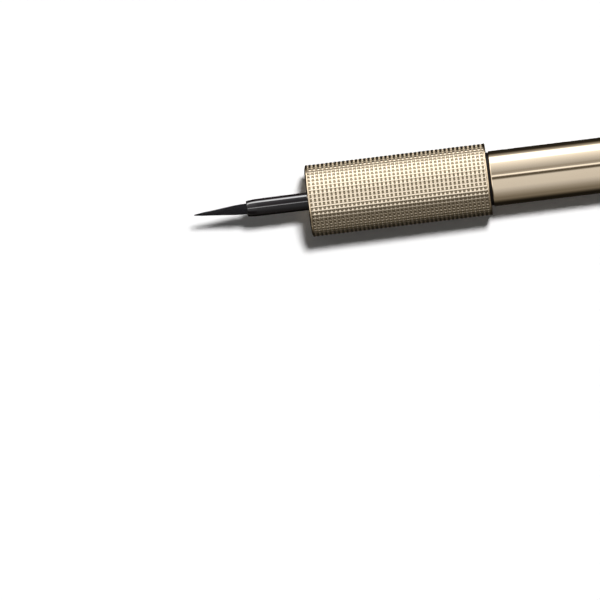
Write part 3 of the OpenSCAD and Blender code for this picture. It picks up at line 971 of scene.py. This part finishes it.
# Brush. One filament is modelled, a thin rod in seven stretches with a pointed
# end, and is copied for the whole bundle. A copy keeps its place in the bundle
# from root to tip, tapers, bows a little astray and leans in by the bundle's
# outline. The first one is full length, and the others may end shorter.
BRUSH_RADIUS = 0.9
FILAMENTS = 720
FILAMENT_RADIUS = 0.034
STRETCHES = 7
SHORTENED = 0.22
STRAY = 0.02
TAPER = 0.72
GROWN_IN = 0.05
ROOT_EDGE = 0.04
tip_x = span("brush_tip")[0]
reach = root_front - tip_x
bundle_outline = [
    (0, 1), (0.12, 1), (0.18, 0.98), (0.25, 0.93), (0.33, 0.84), (0.4, 0.76),
    (0.54, 0.6), (0.68, 0.45), (0.83, 0.31), (0.9, 0.24), (0.97, 0.15), (1, 0.08),
]


def bundle_share(height):
    """The bundle's radius at that share of its length, as a share."""
    for (h0, r0), (h1, r1) in zip(bundle_outline, bundle_outline[1:]):
        if height <= h1:
            return r0 + (r1 - r0) * (height - h0) / (h1 - h0)
    return bundle_outline[-1][1]


root = turned(
    "brush_root",
    [
        (root_front, 0),
        (root_front, BRUSH_RADIUS - ROOT_EDGE),
        (root_front + ROOT_EDGE, BRUSH_RADIUS),
        (root_back, BRUSH_RADIUS),
        (root_back, 0),
    ],
    sides=64,
)
bpy.ops.object.select_all(action="DESELECT")
bpy.ops.mesh.primitive_cylinder_add(
    vertices=5, radius=1, depth=1, end_fill_type="NOTHING",
    location=(-0.5, 0, 0), rotation=(0, math.pi / 2, 0),
)
filament = start_piece("filament")
bpy.ops.object.mode_set(mode="EDIT")
bpy.ops.mesh.select_mode(type="EDGE")
bpy.ops.mesh.select_all(action="DESELECT")
cage = bmesh.from_edit_mesh(filament.data)
for edge in cage.edges:
    edge.select_set(abs(edge.verts[0].co.x - edge.verts[1].co.x) > 0.5)
bmesh.update_edit_mesh(filament.data)
bpy.ops.mesh.subdivide(number_cuts=STRETCHES - 1)
bpy.ops.mesh.select_all(action="SELECT")
bpy.ops.mesh.normals_make_consistent(inside=False)
bpy.ops.mesh.select_mode(type="VERT")
bpy.ops.mesh.select_all(action="DESELECT")
cage = bmesh.from_edit_mesh(filament.data)
for vertex in cage.verts:
    vertex.select_set(vertex.co.x < -0.999)
bmesh.update_edit_mesh(filament.data)
bpy.ops.mesh.merge(type="CENTER")
bpy.ops.object.mode_set(mode="OBJECT")

random.seed(7)
bundle = bmesh.new()
golden_turn = math.pi * (3 - math.sqrt(5))
for i in range(FILAMENTS):
    # Places spread evenly over the root's face
    out = (BRUSH_RADIUS - FILAMENT_RADIUS) * math.sqrt((i + 0.5) / FILAMENTS)
    turn = i * golden_turn
    y, z = out * math.cos(turn), out * math.sin(turn)
    length = reach * (1 - SHORTENED * random.random() ** 3)
    if i == 0:
        length = reach
    stray = random.uniform(-STRAY, STRAY), random.uniform(-STRAY, STRAY)
    first = len(bundle.verts)
    bundle.from_mesh(filament.data)
    bundle.verts.ensure_lookup_table()
    for vertex in bundle.verts[first:]:
        along = max(-vertex.co.x, 0)
        height = along * length / reach
        gathered = bundle_share(height)
        thick = FILAMENT_RADIUS * (1 - TAPER * along**1.5)
        bow = math.sin(math.pi * along)
        vertex.co = (
            (root_front + GROWN_IN - height * reach - GROWN_IN * along) * MM,
            (y * gathered + stray[0] * bow + vertex.co.y * thick) * MM,
            (z * gathered + stray[1] * bow + vertex.co.z * thick) * MM,
        )
filaments_mesh = bpy.data.meshes.new("brush_filaments")
bundle.to_mesh(filaments_mesh)
bundle.free()
filaments = bpy.data.objects.new("brush_filaments", filaments_mesh)
bpy.context.scene.collection.objects.link(filaments)
bpy.data.objects.remove(filament)
bpy.ops.object.select_all(action="DESELECT")
filaments.select_set(True)
root.select_set(True)
bpy.context.view_layer.objects.active = filaments
bpy.ops.object.join()
finish_piece(filaments, "pen", brush_black, "bristle", "brush_tip", smooth=80)

# Front housing: sealing boss, neck and chamber
CHAMBER = 3.5
FOOT_BORE = 2.28
SPIGOT = 4.095
HOUSING = 4.45
NECK = 3.8
BOSS = 3.1
BOSS_LENGTH = 1.5
NECK_LENGTH = 7.6
RETAINER_LENGTH = 3
CHAMBER_FLOOR = 1.2
STEM_FIT = 0.03
BOSS_ROUND = 0.15
NECK_ROUND = 0.2
neck_front = housing_front + BOSS_LENGTH
recess_floor = neck_front + NECK_LENGTH
chamber_front = stem_back + RETAINER_LENGTH + CHAMBER_FLOOR
housing = turned(
    "front_housing_and_neck",
    [
        (foot_front, STEM + STEM_FIT),
        (housing_front, STEM + STEM_FIT),
    ]
    + arc(housing_front + BOSS_ROUND, BOSS - BOSS_ROUND, BOSS_ROUND, 180, 90, 3)
    + [(neck_front, BOSS)]
    + arc(neck_front + NECK_ROUND, NECK - NECK_ROUND, NECK_ROUND, 180, 90, 3)
    + [
        (recess_floor, NECK),
        (recess_floor, HOUSING),
        (ring_front, HOUSING),
        (ring_front, SPIGOT),
        (housing_back, SPIGOT),
        (housing_back, CHAMBER),
        (chamber_front, CHAMBER),
        (chamber_front, FOOT_BORE),
        (foot_front, FOOT_BORE),
    ],
)
finish_piece(housing, "pen", satin_black, "black_moulding", "front_housing")

# Tail piece: insert, black shoulder, and the post with its snap ring's groove
SHOULDER_LENGTH = 0.45
LEAD_IN = 0.4
GROOVE_DEPTH = 0.5
GROOVE_ROOM = 0.03
tail_front, post_back, _ = span("tail_spigot")
shoulder_back = barrel_back + SHOULDER_LENGTH
snap_front, snap_back, _ = span("post_ring")
groove_front = snap_front - GROOVE_ROOM
groove_back = snap_back + GROOVE_ROOM
tail = turned(
    "tail_piece",
    [
        (tail_front, 0),
        (tail_front, SPIGOT - LEAD_IN),
        (tail_front + LEAD_IN, SPIGOT),
        (barrel_back, SPIGOT),
        (barrel_back, RING - 0.03),
        (barrel_back + 0.03, RING),
        (shoulder_back - 0.05, RING),
        (shoulder_back, RING - 0.05),
        (shoulder_back, NECK),
        (groove_front, NECK),
        (groove_front, NECK - GROOVE_DEPTH),
        (groove_back, NECK - GROOVE_DEPTH),
        (groove_back, NECK),
        (post_back - LEAD_IN, NECK),
    ]
    + arc(post_back - LEAD_IN, NECK - LEAD_IN, LEAD_IN, 90, 0, 4)[1:]
    + [
        (post_back, NECK - 1.0),
        (post_back - 0.3, NECK - 1.2),
        (post_back - 0.3, 0),
    ],
)
finish_piece(tail, "pen", satin_black, "black_moulding", "tail_spigot")

# Cap tube and the button that closes it
cap_front, cap_tube_back, _ = span("cap_shell")
CAP_BORE = 4.275
MOUTH_ROUND = 0.1
cap = turned(
    "cap_tube",
    [(cap_front, CAP_BORE)]
    + arc(cap_front + MOUTH_ROUND, cap_radius - MOUTH_ROUND, MOUTH_ROUND, 180, 90, 4)
    + [
        (cap_front + MOUTH_ROUND + LAND, cap_radius),
        (cap_tube_back - LAND, cap_radius),
        (cap_tube_back, cap_radius),
        (cap_tube_back, CAP_BORE),
    ],
    sides=256,
)
finish_piece(cap, "cap", mirror_gold, "gold_mirror", "cap_shell")

PLUG = 4.245
PLUG_BEVEL = 0.35
SEAM = 0.06
DISH = 0.05
button = turned(
    "cap_end_button",
    [
        (button_front, 0),
        (button_front, PLUG - PLUG_BEVEL),
        (button_front + PLUG_BEVEL, PLUG),
        (cap_tube_back, PLUG),
        (cap_tube_back, cap_radius - SEAM),
        (cap_tube_back + SEAM, cap_radius),
    ]
    + arc(button_x, cap_radius - BUTTON_EDGE, BUTTON_EDGE, 90, 0, 8)
    + [
        (cap_back, cap_radius - 0.9),
        (cap_back - DISH, cap_radius - 1.0),
        (cap_back - DISH, 0),
    ],
    sides=256,
)
finish_piece(button, "cap", mirror_gold, "gold_mirror", "cap_end_plug")

# CAD nodes that keep their own shape
dressed = {
    "brush_retainer": milky_plastic,
    "feed_rod": feed_fibre,
    "collector": milky_plastic,
    "tank_seal_ring": seal_rubber,
    "ink_tank": clear_plastic,
    "mixing_ball": ball_steel,
    "tank_plug": seal_rubber,
    "post_ring": seal_rubber,
    "cap_liner": milky_plastic,
    "inner_cap": milky_plastic,
    "inner_cap_seal": seal_rubber,
}
for name, material in dressed.items():
    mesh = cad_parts[name].data
    mesh.materials.clear()
    mesh.materials.append(material)
